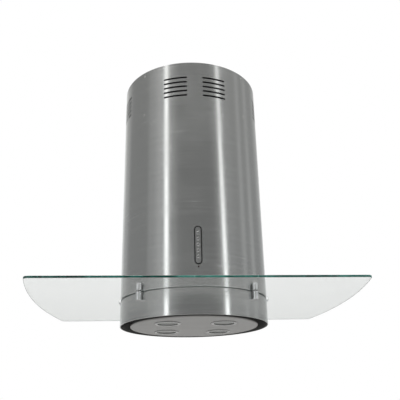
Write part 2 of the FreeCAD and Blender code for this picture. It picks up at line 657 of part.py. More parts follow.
# --- electrical parts on the blower deck --------------------------------------------------------
def make_electrics():
    floor = BLOWER_DECK_Z + DECK_T
    x, y, top = (-60, 60), (106, 164), floor + 45
    shell = box(x, y, (floor, top))
    uprights = [e for e in shell.Edges if e.BoundBox.ZMax - e.BoundBox.ZMin > 40]
    shell = shell.makeFillet(4, uprights)
    hollow = box((x[0] + 2, x[1] - 2), (y[0] + 2, y[1] - 2), (floor + 2, top + 1))
    entry = rod_y(6, 100, 110, 30, floor + 30)
    nodes["power_box"] = shell.cut(hollow).cut(entry)
    lid = box((x[0] - 1.5, x[1] + 1.5), (y[0] - 1.5, y[1] + 1.5), (top, top + 2))
    lid = lid.makeFillet(1.2, edges_at_height(lid, top + 2))
    plug = box((x[0] + 2.3, x[1] - 2.3), (y[0] + 2.3, y[1] - 2.3), (top - 3, top))
    plug = plug.cut(box((x[0] + 4, x[1] - 4), (y[0] + 4, y[1] - 4), (top - 4, top)))
    nodes["power_box_lid"] = joined([lid, plug])
    board_z = floor + 8
    board = box((-52, 52), (111, 159), (board_z, board_z + 1.6))
    parts = [box((-48, -30), (115, 155), (board_z, board_z + 13))]
    for number in range(4):
        left = -22 + number * 17
        parts.append(box((left, left + 12), (120, 142), (board_z, board_z + 15)))
    parts.append(disc(6, board_z, board_z + 20, 44, 135))
    stands = [disc(3, floor + 2, board_z, sx, sy) for sx in (-47, 47) for sy in (116, 154)]
    nodes["power_board"] = joined([board] + parts + stands)

    can = disc(16, floor, floor + 55, -135, 40)
    can = can.makeFillet(2, edges_at_height(can, floor + 55))
    clip = ring(18, 16, floor + 20, floor + 32, -135, 40)
    foot = box((-153, -117), (56, 70), (floor, floor + 2))
    stalk = box((-139, -131), (57, 60), (floor, floor + 32))
    nodes["motor_capacitor"] = can
    nodes["capacitor_clip"] = joined([clip, stalk, foot])

    body = box((-55, 55), (-150, -112), (floor, floor + 28))
    body = body.makeFillet(3, [e for e in body.Edges if e.BoundBox.ZMax - e.BoundBox.ZMin > 20])
    ears = box((-67, 67), (-140, -122), (floor, floor + 2.5))
    holes = [disc(2.2, floor - 1, floor + 4, side * 61, -131) for side in (-1, 1)]
    nodes["lamp_transformer"] = cut_all(joined([body, ears]), holes)


# --- filter deck and grease filter --------------------------------------------------------------
def make_filter():
    low, high = FILTER_DECK_Z, FILTER_DECK_Z + FILTER_DECK_T
    flange_r = CASING_INNER_R - 0.5
    web = ring(flange_r, FILTER_HOLE_R, low, high)
    flange = ring(flange_r, flange_r - FILTER_DECK_T, low, low + 50)
    stiffener = ring(FILTER_HOLE_R + 1.2, FILTER_HOLE_R, low, low + 8)
    hook_low = FILTER_LOW_Z - 5.3
    hook_edge = -161.0
    front_hook = joined([
        box((-10, 10), (-169, -167), (hook_low, low)),
        box((-10, 10), (-169, hook_edge), (hook_low, hook_low + 2)),
        box((-10, 10), (-179, -167), (low - 1.5, low)),
    ])
    rear_hook = joined([
        box((-16, 16), (167, 169), (low - 7, low)),
        box((-16, 16), (160, 169), (low - 7, low - 5)),
        box((-16, 16), (167, 179), (low - 1.5, low)),
    ])
    nodes["filter_hooks"] = Part.makeCompound([front_hook, rear_hook])
    deck = joined([web, flange, stiffener])
    cuts = [disc(WIRE_HOLE_R, low - 1, high + 1, *FILTER_WIRE_HOLE)]
    for angle in CORNER_ANGLES:
        for height in CLAMP_BOLT_HEIGHTS:
            cuts.append(around(radial_hole(2.2, height), angle))
    nodes["filter_deck"] = cut_all(deck, cuts)

    frame = ring(FILTER_R, FILTER_R - 16, FILTER_LOW_Z, FILTER_HIGH_Z)
    groove = ring(FILTER_R - 1.5, FILTER_R - 17, FILTER_LOW_Z + 1.5, FILTER_HIGH_Z - 1.5)
    tongue = box((-14, 14), (FILTER_R - 1, FILTER_R + 7), (low - 4.5, low - 2.5))
    under = FILTER_LOW_Z
    guide = box((-12, 12), (-156, -150), (under - 5, under))
    guide = guide.cut(box((-8.3, 8.3), (-160, -140), (under - 3.3, under + 1)))
    nodes["filter_frame"] = joined([frame.cut(groove), tongue, guide])
    layers = []
    for number in range(MESH_LAYERS):
        layer_low = FILTER_LOW_Z + 1.6 + number * MESH_PITCH
        layers.append(disc(FILTER_R - 1.6, layer_low, layer_low + MESH_T))
    nodes["filter_mesh"] = Part.makeCompound(layers)

    bolt_high = under - MOVE_CLEARANCE
    nose_y = hook_edge + 3 - LATCH_TRAVEL
    bolt = box((-8, 8), (nose_y, -139), (bolt_high - 2, bolt_high))
    nose_edges = [e for e in edges_at_height(bolt, bolt_high - 2) if e.BoundBox.YMax < nose_y + 0.1]
    bolt = bolt.makeChamfer(1.5, nose_edges)
    finger = box((-8, 8), (-142, -140), (bolt_high - 8, bolt_high))
    nodes["filter_latch"] = joined([bolt, finger])


# --- light panel --------------------------------------------------------------------------------
def dished(radius, low, high, sheet, corner):
    """Open pan of this outside size, its floor at low, with a rounded lower edge."""
    body = disc(radius, low, high)
    body = body.makeFillet(corner, edges_at_height(body, low))
    hollow = disc(radius - sheet, low + sheet, high + 1)
    hollow = hollow.makeFillet(corner - sheet + 0.2, edges_at_height(hollow, low + sheet))
    return body.cut(hollow)


def lamp_spots():
    return [on_circle(LAMP_PITCH_R, angle) for angle in CORNER_ANGLES]


def make_panel():
    floor = PANEL_Z + PANEL_T
    collar_r = LAMP_R - 3.5
    pan = dished(PANEL_R, PANEL_Z, PANEL_Z + PANEL_H, PANEL_T, 3.0)
    holes = [disc(collar_r + 0.3, PANEL_Z - 1, floor + 1, *spot) for spot in lamp_spots()]
    nodes["light_panel"] = cut_all(pan, holes)

    cover = disc(COVER_R, floor, COVER_TOP_Z)
    cover = cover.makeFillet(3.0, edges_at_height(cover, COVER_TOP_Z))
    inside = disc(COVER_R - 1.0, floor - 1, COVER_TOP_Z - 1.0)
    rim = ring(COVER_R + 6, COVER_R - 0.5, floor, floor + 1.0)
    nodes["panel_cover"] = joined([cover.cut(inside), rim])

    arms, clips, pins = [], [], []
    arm_half, ear_t, ear_r = 1.5, 2.0, 6.0
    for side in (-1, 1):
        x = side * HINGE_X
        blade = box((x - arm_half, x + arm_half), (HINGE_Y - 6, HINGE_Y + 2), (HINGE_Z, FILTER_DECK_Z))
        eye = rod_x(6.0, x - arm_half, x + arm_half, HINGE_Y, HINGE_Z)
        foot = box((x - 12, x + 12), (HINGE_Y - 8, HINGE_Y + 8), (FILTER_DECK_Z - 2, FILTER_DECK_Z))
        bore = rod_x(HINGE_PIN_R + RUN_CLEARANCE, x - 5, x + 5, HINGE_Y, HINGE_Z)
        arms.append(joined([blade, eye, foot]).cut(bore))
        ears = []
        for edge in (-1, 1):
            inner = x + edge * (arm_half + MOVE_CLEARANCE)
            span = sorted((inner, inner + edge * ear_t))
            ears.append(box(span, (HINGE_Y - 6, HINGE_Y + 6), (floor, HINGE_Z)))
            ears.append(rod_x(ear_r, *span, HINGE_Y, HINGE_Z))
        reach = arm_half + MOVE_CLEARANCE + ear_t
        base = box((x - reach, x + reach), (HINGE_Y - 6, HINGE_Y + 6), (floor, floor + 1.5))
        clips.append(joined(ears + [base]).cut(rod_x(HINGE_PIN_R, x - 10, x + 10, HINGE_Y, HINGE_Z)))
        pin = rod_x(HINGE_PIN_R, x - reach - 1, x + reach + 1, HINGE_Y, HINGE_Z)
        head = rod_x(3.5, x - reach - 2.5, x - reach, HINGE_Y, HINGE_Z)
        pins.append(joined([pin, head]))
    nodes["panel_hinge_arms"] = Part.makeCompound(arms)
    nodes["panel_hinge_clips"] = Part.makeCompound(clips)
    nodes["panel_hinge_pins"] = Part.makeCompound(pins)

    magnets, plates = [], []
    for side in (-1, 1):
        x = side * CATCH_X
        body = box((x - 10, x + 10), (CATCH_Y - 6, CATCH_Y + 6), (CATCH_FACE_Z, FILTER_DECK_Z))
        body = body.makeChamfer(0.8, edges_at_height(body, CATCH_FACE_Z))
        magnets.append(body)
        top = CATCH_FACE_Z - MOVE_CLEARANCE
        web = box((x - 6, x + 6), (CATCH_Y - 5, CATCH_Y - 3.5), (floor, top))
        shelf = box((x - 6, x + 6), (CATCH_Y - 5, CATCH_Y + 5), (top - 1.5, top))
        foot = box((x - 6, x + 6), (CATCH_Y - 5, CATCH_Y + 5), (floor, floor + 1.5))
        plates.append(joined([web, shelf, foot]))
    nodes["catch_magnets"] = Part.makeCompound(magnets)
    nodes["catch_plates"] = Part.makeCompound(plates)

    low = PANEL_Z - LAMP_RING_PROUD
    ring_profile = [
        (LAMP_R - 8, low + 0.6), (LAMP_R - 7.2, low), (LAMP_R - 1.6, low), (LAMP_R, low + 1.2),
        (LAMP_R, PANEL_Z), (collar_r, PANEL_Z), (collar_r, PANEL_Z + 12), (collar_r - 1.6, PANEL_Z + 12),
        (collar_r - 1.6, low + 2.6), (LAMP_R - 8, low + 2.6),
    ]
    lamp_ring = turned(ring_profile)
    lens_r = collar_r - 1.8
    lens_low = low + 2.7
    lens = disc(lens_r, lens_low, lens_low + 3.0)
    lens = lens.makeFillet(0.8, edges_at_height(lens, lens_low))
    can_low, can_high = lens_low + 3.2, COVER_TOP_Z - 2.5
    can_r = lens_r - 0.4
    can = turned([
        (can_r - 1, can_low), (can_r, can_low), (can_r, can_low + 8), (can_r - 8, can_high),
        (0, can_high), (0, can_high - 1.2), (can_r - 9, can_high - 1.2), (can_r - 1, can_low + 7.4),
    ])
    capsule_z = (can_low + can_high) / 2 - 1
    capsule = rod_x(5.0, -16, 8, 0, capsule_z)
    tip = Part.makeSphere(5.0, Vector(-16, 0, capsule_z))
    base = box((8, 17), (-4.5, 4.5), (capsule_z - 3.5, can_high - 1.2))
    lenses, cans, capsules = [], [], []
    for name, (x, y) in zip(CORNER_NAMES, lamp_spots()):
        nodes["lamp_ring_" + name] = moved(lamp_ring, x, y)
        lenses.append(moved(lens, x, y))
        cans.append(moved(can, x, y))
        capsules.append(moved(joined([capsule, tip, base]), x, y))
    nodes["lamp_lenses"] = Part.makeCompound(lenses)
    nodes["lamp_cans"] = Part.makeCompound(cans)
    nodes["halogen_capsules"] = Part.makeCompound(capsules)


make_frame()
make_casing()
make_canopy()
make_controls()
make_blower()
make_outlet()
make_electrics()
make_filter()
make_panel()
nodes["frame_screws"] = Part.makeCompound(frame_screws)

os.makedirs("parts", exist_ok=True)
for name, shape in nodes.items():
    shape.exportStep("parts/" + name + ".step")
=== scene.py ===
import json
import math

import bmesh
import bpy
from mathutils import Matrix, Vector


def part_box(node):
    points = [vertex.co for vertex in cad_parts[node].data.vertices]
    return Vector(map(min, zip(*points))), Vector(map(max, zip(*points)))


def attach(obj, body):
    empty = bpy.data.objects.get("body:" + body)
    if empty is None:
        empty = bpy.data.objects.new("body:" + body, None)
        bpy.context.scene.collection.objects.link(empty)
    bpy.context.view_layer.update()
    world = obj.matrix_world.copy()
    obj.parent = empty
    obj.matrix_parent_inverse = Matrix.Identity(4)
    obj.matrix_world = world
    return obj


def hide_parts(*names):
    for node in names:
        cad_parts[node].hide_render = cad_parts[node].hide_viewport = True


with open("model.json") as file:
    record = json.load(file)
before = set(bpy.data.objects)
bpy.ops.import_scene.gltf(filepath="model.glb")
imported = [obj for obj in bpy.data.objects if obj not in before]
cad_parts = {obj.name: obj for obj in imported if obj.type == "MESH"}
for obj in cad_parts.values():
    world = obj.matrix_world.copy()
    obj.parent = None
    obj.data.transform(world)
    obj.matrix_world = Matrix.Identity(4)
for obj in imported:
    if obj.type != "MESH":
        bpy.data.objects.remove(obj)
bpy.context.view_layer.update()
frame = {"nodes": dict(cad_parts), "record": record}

# Island range hood: materials, studio, camera, and the grease filter's woven layers, which need a finer
# mesh than the frame has.
# Lengths are metres in the frame's axes: +Z up, -Y the front with the buttons, origin at the ceiling.

CASING_LOW, CASING_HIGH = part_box("casing_tube")
GLASS_HOLE_R = CASING_HIGH.x + 0.01    # a little more than the hole round the casing
RIM_ABOVE_FLOOR = 1.55
FLOOR_R = 14.0


# --- node helpers -------------------------------------------------------------------------------
def add(tree, kind, inputs=None, **settings):
    """New shader node: inputs are values or sockets to link, settings are the node's own options."""
    made = tree.nodes.new("ShaderNode" + kind)
    for option, value in settings.items():
        setattr(made, option, value)
    for socket, value in (inputs or {}).items():
        if isinstance(value, bpy.types.NodeSocket):
            tree.links.new(value, made.inputs[socket])
        else:
            made.inputs[socket].default_value = value
    return made


def math_node(tree, operation, *values):
    made = add(tree, "Math", dict(enumerate(values)), operation=operation)
    return made.outputs[0]


def remap(tree, value, low, high, out_low=0.0, out_high=1.0, smooth=False):
    """value from low..high to out_low..out_high, held at the ends."""
    made = add(
        tree,
        "MapRange",
        {0: value, 1: low, 2: high, 3: out_low, 4: out_high},
        interpolation_type="SMOOTHSTEP" if smooth else "LINEAR",
    )
    return made.outputs[0]


def mix_colour(tree, factor, first, second):
    """first where factor is 0, second where it is 1; both are colours or sockets."""
    made = add(tree, "Mix", {0: factor}, data_type="RGBA")
    for index, value in ((6, first), (7, second)):
        if isinstance(value, bpy.types.NodeSocket):
            tree.links.new(value, made.inputs[index])
        else:
            made.inputs[index].default_value = (*value, 1.0)
    return made.outputs[2]


def position(tree):
    """A point's place in the frame, which moves with its body."""
    return add(tree, "TexCoord").outputs["Object"]


def stretched(tree, coordinates, scale):
    return add(tree, "Mapping", {"Vector": coordinates, "Scale": scale}).outputs[0]


def noise(tree, coordinates, scale, detail=3.0, roughness=0.55, distortion=0.0):
    made = add(
        tree,
        "TexNoise",
        {
            "Vector": coordinates,
            "Scale": scale,
            "Detail": detail,
            "Roughness": roughness,
            "Distortion": distortion,
        },
    )
    return made.outputs["Fac"]


def from_axis(tree):
    """Flat vector from the hood's upright axis to the point."""
    return add(tree, "VectorMath", {0: position(tree), 1: (1.0, 1.0, 0.0)}, operation="MULTIPLY").outputs[0]


def unrolled(tree):
    """Coordinates on a cylinder unrolled flat: (arc at one metre radius, distance from axis, height)."""
    parts = add(tree, "SeparateXYZ", {0: position(tree)}).outputs
    angle = math_node(tree, "ARCTAN2", parts[0], math_node(tree, "MULTIPLY", parts[1], -1.0))
    reach = add(tree, "VectorMath", {0: from_axis(tree)}, operation="LENGTH").outputs["Value"]
    return add(tree, "CombineXYZ", {0: angle, 1: reach, 2: parts[2]}).outputs[0]


def worn_edges(tree, radius=0.0006):
    """1 along sharp edges and 0 on the faces between them."""
    soft = add(tree, "Bevel", {"Radius": radius}, samples=4).outputs[0]
    sharp = add(tree, "NewGeometry").outputs["Normal"]
    same = add(tree, "VectorMath", {0: soft, 1: sharp}, operation="DOT_PRODUCT").outputs["Value"]
    return remap(tree, same, 0.98, 0.80, smooth=True)


def round_wall(tree):
    """Shading normal that is truly round on the casing's wall and stays as built elsewhere."""
    built = add(tree, "NewGeometry").outputs["Normal"]
    radial = add(tree, "VectorMath", {0: from_axis(tree)}, operation="NORMALIZE").outputs[0]
    outward = add(tree, "VectorMath", {0: radial, 1: built}, operation="DOT_PRODUCT").outputs["Value"]
    return add(
        tree, "Mix", {0: remap(tree, outward, 0.90, 0.95), 4: built, 5: radial}, data_type="VECTOR"
    ).outputs[1]


def bump(tree, height, distance, strength=1.0, normal=None):
    inputs = {"Height": height, "Distance": distance, "Strength": strength}
    if normal:
        inputs["Normal"] = normal
    return add(tree, "Bump", inputs).outputs[0]


def new_material(name):
    """Empty material with a Principled shader: returns the material, its tree and the shader."""
    material = bpy.data.materials.new(name)
    material.use_nodes = True
    tree = material.node_tree
    return material, tree, tree.nodes["Principled BSDF"]


def connect(tree, shader, **links):
    """Feeds the shader's sockets, named with underscores for spaces."""
    for name, value in links.items():
        socket = shader.inputs[name.replace("_", " ")]
        if isinstance(value, bpy.types.NodeSocket):
            tree.links.new(value, socket)
        elif isinstance(value, tuple):
            socket.default_value = (*value, 1.0)
        else:
            socket.default_value = value


# --- metals -------------------------------------------------------------------------------------
def brushed(name, coordinates, colour, roughness, grain_scale, grain=0.00004, round_about_axis=False):
    """Brushed sheet metal. coordinates is a function of the tree that gives a place; grain_scale
    stretches the noise so that it is long along the brush strokes and fine across them."""
    material, tree, shader = new_material(name)
    place = coordinates(tree)
    long_lines = noise(tree, stretched(tree, place, grain_scale), 1.0, detail=4.0, roughness=0.7)
    wide_bands = noise(tree, stretched(tree, place, [s * 0.12 for s in grain_scale]), 1.0, detail=2.0)
    handled = noise(tree, position(tree), 7.0, detail=5.0, distortion=0.6)
    worn = worn_edges(tree)
    dark = tuple(c * 0.93 for c in colour)
    pale = tuple(min(c * 1.05, 1.0) for c in colour)
    tone = mix_colour(tree, remap(tree, long_lines, 0.3, 0.7), dark, pale)
    tone = mix_colour(tree, remap(tree, wide_bands, 0.35, 0.65, 0.0, 0.35), tone, dark)
    tone = mix_colour(tree, math_node(tree, "MULTIPLY", worn, 0.7), tone, (0.82, 0.82, 0.81))
    rough = remap(tree, long_lines, 0.3, 0.7, roughness - 0.04, roughness + 0.05)
    rough = math_node(tree, "ADD", rough, remap(tree, handled, 0.35, 0.75, -0.025, 0.045))
    connect(
        tree, shader, Base_Color=tone, Metallic=1.0, Roughness=rough,
        Normal=bump(tree, long_lines, grain, 0.6, round_wall(tree) if round_about_axis else None),
    )
    return material


def casing_steel():
    """Brushed outside; the inside has a matt finish and a dark mottled tone that is painted shade inside the
    casing.
    """
    material = brushed(
        "casing_steel", unrolled, (0.60, 0.605, 0.60), 0.21, (1.2, 1.0, 950.0),
        grain=0.0000015, round_about_axis=True,
    )
    tree = material.node_tree
    shader = tree.nodes["Principled BSDF"]
    shader.inputs["Anisotropic"].default_value = 0.85
    shader.inputs["Anisotropic Rotation"].default_value = 0.25
    tangent = add(tree, "Tangent", direction_type="RADIAL", axis="Z").outputs[0]
    tree.links.new(tangent, shader.inputs["Tangent"])
    facing = add(tree, "NewGeometry").outputs["Normal"]
    outward = add(
        tree, "VectorMath", {0: from_axis(tree), 1: facing}, operation="DOT_PRODUCT"
    ).outputs["Value"]
    inside = remap(tree, outward, -0.05, -0.15)
    # painted shade: the inside is coloured near black, mottled by this noise, because it lies in shade; the
    # noise also sets its matt roughness
    dust = noise(tree, position(tree), 35.0, detail=5.0)
    inside_painted_shade = mix_colour(tree, dust, (0.10, 0.10, 0.10), (0.17, 0.17, 0.165))
    outside = shader.inputs["Base Color"].links[0].from_socket
    smooth = shader.inputs["Roughness"].links[0].from_socket
    matt = remap(tree, dust, 0.3, 0.7, 0.45, 0.60)
    rough = add(tree, "Mix", {0: inside, 2: smooth, 3: matt}).outputs[0]
    connect(tree, shader, Base_Color=mix_colour(tree, inside, outside, inside_painted_shade), Roughness=rough)
    return material


def panel_steel_painted_shade():
    """Fine brushing from side to side across the round panel; its tone is a darker copy of the casing's
    steel, painted shade for the downward-facing underside.
    """
    return brushed("panel_steel_painted_shade", position, (0.335, 0.328, 0.326), 0.36, (5.0, 900.0, 5.0), grain=0.000002)


def strip_steel():
    """Fine upright brushing on the plate behind the buttons."""
    return brushed("strip_steel", position, (0.58, 0.585, 0.58), 0.30, (1600.0, 1600.0, 12.0), grain=0.000002)


def zinc_steel():
    """Galvanised sheet: pale crystals of slightly different tones, with dull handling marks. All its tones
    are set darker than bare zinc, as painted shade for the sheet inside the hood.
    """
    material, tree, shader = new_material("zinc_steel")
    place = position(tree)
    wobble = noise(tree, place, 60.0, detail=2.0)
    shifted = add(tree, "VectorMath", {0: place, 1: wobble}, operation="ADD").outputs[0]
    crystal = add(tree, "TexVoronoi", {"Vector": place, "Scale": 95.0}).outputs["Color"]
    crystal_tone = add(tree, "SeparateColor", {0: crystal}).outputs[0]
    dull = noise(tree, shifted, 9.0, detail=6.0)
    # painted shade: both crystal tones are darkened to dim the sheet seen inside the hood
    tone = mix_colour(tree, crystal_tone, (0.29, 0.30, 0.31), (0.40, 0.41, 0.42))
    tone = mix_colour(tree, remap(tree, dull, 0.45, 0.75, 0.0, 0.6), tone, (0.24, 0.245, 0.25))
    tone = mix_colour(tree, math_node(tree, "MULTIPLY", worn_edges(tree), 0.6), tone, (0.55, 0.55, 0.54))
    rough = remap(tree, crystal_tone, 0.0, 1.0, 0.34, 0.50)
    rough = math_node(tree, "ADD", rough, remap(tree, dull, 0.4, 0.8, 0.0, 0.12))
    connect(
        tree, shader, Base_Color=tone, Metallic=0.9, Roughness=rough,
        Normal=bump(tree, crystal_tone, 0.00003, 0.4),
    )
    return material


def polished(name, colour, roughness, scratch=0.00001):
    """Bright plated metal with fine crossing scratches and faint wiping marks."""
    material, tree, shader = new_material(name)
    place = position(tree)
    first = noise(tree, stretched(tree, place, (900.0, 60.0, 200.0)), 1.0, detail=5.0, roughness=0.8)
    second = noise(tree, stretched(tree, place, (80.0, 1100.0, 700.0)), 1.0, detail=5.0, roughness=0.8)
    marks = math_node(tree, "MAXIMUM", first, second)
    wiped = noise(tree, place, 35.0, detail=4.0)
    tone = mix_colour(tree, remap(tree, marks, 0.55, 0.85, 0.0, 0.5), colour, tuple(c * 0.8 for c in colour))
    rough = remap(tree, marks, 0.5, 0.85, roughness, roughness + 0.12)
    rough = math_node(tree, "ADD", rough, remap(tree, wiped, 0.45, 0.7, 0.0, 0.05))
    connect(
        tree, shader, Base_Color=tone, Metallic=1.0, Roughness=rough,
        Normal=bump(tree, marks, scratch, 0.3),
    )
    return material


def cast_can(name, colour, roughness, metallic):
    """Painted or drawn metal can: fine orange peel, drawing lines and bare edges."""
    material, tree, shader = new_material(name)
    place = position(tree)
    peel = noise(tree, place, 900.0, detail=2.0)
    drawn = noise(tree, stretched(tree, place, (60.0, 900.0, 60.0)), 1.0, detail=3.0)
    dust = noise(tree, place, 22.0, detail=6.0)
    tone = mix_colour(tree, remap(tree, drawn, 0.3, 0.7), tuple(c * 0.85 for c in colour), colour)
    tone = mix_colour(tree, remap(tree, dust, 0.5, 0.8, 0.0, 0.4), tone, (0.45, 0.43, 0.40))
    tone = mix_colour(tree, math_node(tree, "MULTIPLY", worn_edges(tree), 0.8), tone, (0.68, 0.68, 0.67))
    connect(
        tree, shader, Base_Color=tone, Metallic=metallic,
        Roughness=remap(tree, dust, 0.3, 0.8, roughness, roughness + 0.2),
        Normal=bump(tree, peel, 0.00005, 0.4),
    )
    return material


# --- plastics and rubber ------------------------------------------------------------------------
def moulded(name, colour, roughness, grain=1400.0, depth=0.00004):
    """Moulded plastic or rubber: fine spark-eroded grain, slight flow marks, rubbed edges."""
    material, tree, shader = new_material(name)
    place = position(tree)
    pebble = add(tree, "TexVoronoi", {"Vector": place, "Scale": grain}, feature="SMOOTH_F1").outputs[0]
    flow = noise(tree, stretched(tree, place, (14.0, 14.0, 40.0)), 1.0, detail=3.0, distortion=0.8)
    rubbed = tuple(min(c * 1.8 + 0.03, 1.0) for c in colour)
    tone = mix_colour(tree, remap(tree, flow, 0.3, 0.7), tuple(c * 0.88 for c in colour), colour)
    tone = mix_colour(tree, math_node(tree, "MULTIPLY", worn_edges(tree), 0.45), tone, rubbed)
    rough = remap(tree, flow, 0.3, 0.7, roughness - 0.05, roughness + 0.08)
    connect(tree, shader, Base_Color=tone, Roughness=rough, Normal=bump(tree, pebble, depth, 0.5))
    return material


def black_gloss():
    """Polished black plastic with hairlines, finger smears and rubbed edges."""
    material, tree, shader = new_material("black_gloss")
    place = position(tree)
    hair = noise(tree, stretched(tree, place, (300.0, 300.0, 1500.0)), 1.0, detail=6.0, roughness=0.8)
    smear = noise(tree, place, 60.0, detail=3.0)
    scratched = remap(tree, hair, 0.6, 0.85, 0.0, 0.5)
    rubbed = math_node(tree, "MULTIPLY", worn_edges(tree, 0.0004), 0.3)
    tone = mix_colour(tree, scratched, (0.006, 0.006, 0.007), (0.03, 0.03, 0.032))
    tone = mix_colour(tree, rubbed, tone, (0.05, 0.05, 0.05))
    rough = math_node(
        tree, "ADD", remap(tree, hair, 0.5, 0.85, 0.10, 0.26), remap(tree, smear, 0.45, 0.75, 0.0, 0.10)
    )
    connect(tree, shader, Base_Color=tone, Roughness=rough, Normal=bump(tree, hair, 0.00001, 0.2))
    return material


def circuit_board():
    """Green board with copper tracks under the mask."""
    material, tree, shader = new_material("circuit_board")
    place = position(tree)
    brick = add(
        tree,
        "TexBrick",
        {
            "Vector": place,
            "Color1": (0.0, 0.0, 0.0, 1.0),
            "Color2": (0.3, 0.3, 0.3, 1.0),
            "Mortar": (1.0, 1.0, 1.0, 1.0),
            "Scale": 210.0,
            "Mortar Size": 0.03,
        },
    )
    track = add(tree, "SeparateColor", {0: brick.outputs["Color"]}).outputs[0]
    tone = mix_colour(tree, track, (0.012, 0.10, 0.03), (0.05, 0.26, 0.08))
    fibre = noise(tree, place, 1500.0, detail=2.0)
    tone = mix_colour(tree, math_node(tree, "MULTIPLY", worn_edges(tree), 0.6), tone, (0.62, 0.55, 0.33))
    connect(
        tree, shader, Base_Color=tone, Roughness=remap(tree, fibre, 0.3, 0.7, 0.25, 0.4),
        Normal=bump(tree, track, 0.00004, 0.4),
    )
    return material


# --- glass --------------------------------------------------------------------------------------
def canopy_glass():
    """Clear float glass. Its polished edges show the green of a long way through it, painted into their
    colour, with paler and darker stretches and pale streaks that are painted light and shade along the edge."""
    material, tree, shader = new_material("canopy_glass")
    place = position(tree)
    wiped = noise(tree, stretched(tree, place, (5.0, 9.0, 5.0)), 1.0, detail=5.0, distortion=1.2)
    roller = noise(tree, stretched(tree, place, (2.0, 14.0, 2.0)), 1.0, detail=1.0)
    upright = add(tree, "SeparateXYZ", {0: add(tree, "NewGeometry").outputs["Normal"]}).outputs[2]
    edge = remap(tree, math_node(tree, "ABSOLUTE", upright), 0.9, 0.6)
    reach = add(tree, "VectorMath", {0: from_axis(tree)}, operation="LENGTH").outputs["Value"]
    at_rim = remap(tree, reach, GLASS_HOLE_R, GLASS_HOLE_R + 0.02, 0.45, 1.0)
    edge = math_node(tree, "MULTIPLY", edge, at_rim)
    edge_light_and_shade = noise(tree, stretched(tree, place, (11.0, 11.0, 3.0)), 1.0, detail=4.0, roughness=0.6)
    edge_painted_glints = noise(tree, stretched(tree, place, (160.0, 160.0, 20.0)), 1.0, detail=2.0)
    # painted light and shade: the edge's green varies paler and darker, with pale painted glints, in place of
    # light carried and reflected inside the glass
    edge_tint_and_painted_light = mix_colour(tree, remap(tree, edge_light_and_shade, 0.36, 0.66), (0.002, 0.045, 0.034), (0.075, 0.36, 0.30))
    edge_tint_and_painted_light = mix_colour(tree, remap(tree, edge_painted_glints, 0.62, 0.74, 0.0, 0.7), edge_tint_and_painted_light, (0.30, 0.72, 0.66))
    connect(
        tree, shader, Base_Color=mix_colour(tree, edge, (1.0, 1.0, 1.0), edge_tint_and_painted_light), IOR=1.52,
        Transmission_Weight=remap(tree, edge, 0.0, 1.0, 1.0, 0.15),
        Roughness=remap(tree, wiped, 0.55, 0.8, 0.0, 0.012),
        Normal=bump(tree, roller, 0.00006, 0.25),
    )
    depth_tint = add(tree, "VolumeAbsorption", {"Color": (0.0, 0.72, 0.62, 1.0), "Density": 2.5})
    output = tree.nodes["Material Output"]
    tree.links.new(depth_tint.outputs[0], output.inputs["Volume"])
    return material


def frosted_glass():
    """Lamp lens: etched glass with a fine pressed pattern. Its tone is kept mid grey as painted shade on the
    downward-facing lens.
    """
    material, tree, shader = new_material("frosted_glass")
    place = position(tree)
    cells = add(tree, "TexVoronoi", {"Vector": place, "Scale": 420.0}, feature="SMOOTH_F1").outputs[0]
    etched = noise(tree, place, 1800.0, detail=2.0)
    cloud = noise(tree, place, 40.0, detail=4.0)
    # painted shade: the lens is coloured grey instead of pale frosted white, because it faces down into shade
    tone = mix_colour(tree, remap(tree, cloud, 0.35, 0.7), (0.30, 0.305, 0.30), (0.42, 0.425, 0.42))
    height = math_node(tree, "ADD", cells, math_node(tree, "MULTIPLY", etched, 0.2))
    connect(
        tree, shader, Base_Color=tone, Roughness=remap(tree, etched, 0.3, 0.7, 0.28, 0.42), IOR=1.5,
        Transmission_Weight=0.35, Normal=bump(tree, height, 0.0005, 0.5),
    )
    return material


def lamp_glass():
    """Clear capsule with a faint baked haze."""
    material, tree, shader = new_material("lamp_glass")
    haze = noise(tree, position(tree), 90.0, detail=4.0)
    connect(
        tree, shader, Base_Color=(0.97, 0.97, 0.96), IOR=1.46, Transmission_Weight=1.0,
        Roughness=remap(tree, haze, 0.4, 0.8, 0.02, 0.2),
    )
    return material


def indicator_red():
    """Unlit indicator lens: nearly black, with a little red."""
    material, tree, shader = new_material("indicator_red")
    cloud = noise(tree, position(tree), 900.0, detail=3.0)
    tone = mix_colour(tree, cloud, (0.012, 0.002, 0.002), (0.04, 0.005, 0.004))
    connect(
        tree, shader, Base_Color=tone, Roughness=remap(tree, cloud, 0.3, 0.7, 0.25, 0.4),
        Specular_IOR_Level=0.1, Normal=bump(tree, cloud, 0.00003, 0.3),
    )
    return material


def clear_rubber():
    """Cloudy soft gasket that lets half the light through."""
    material, tree, shader = new_material("clear_rubber")
    cloud = noise(tree, position(tree), 260.0, detail=4.0)
    tone = mix_colour(tree, cloud, (0.62, 0.64, 0.63), (0.78, 0.79, 0.78))
    connect(
        tree, shader, Base_Color=tone, Roughness=remap(tree, cloud, 0.3, 0.7, 0.35, 0.5),
        Transmission_Weight=0.5, IOR=1.42, Normal=bump(tree, cloud, 0.00005, 0.3),
    )
    return material


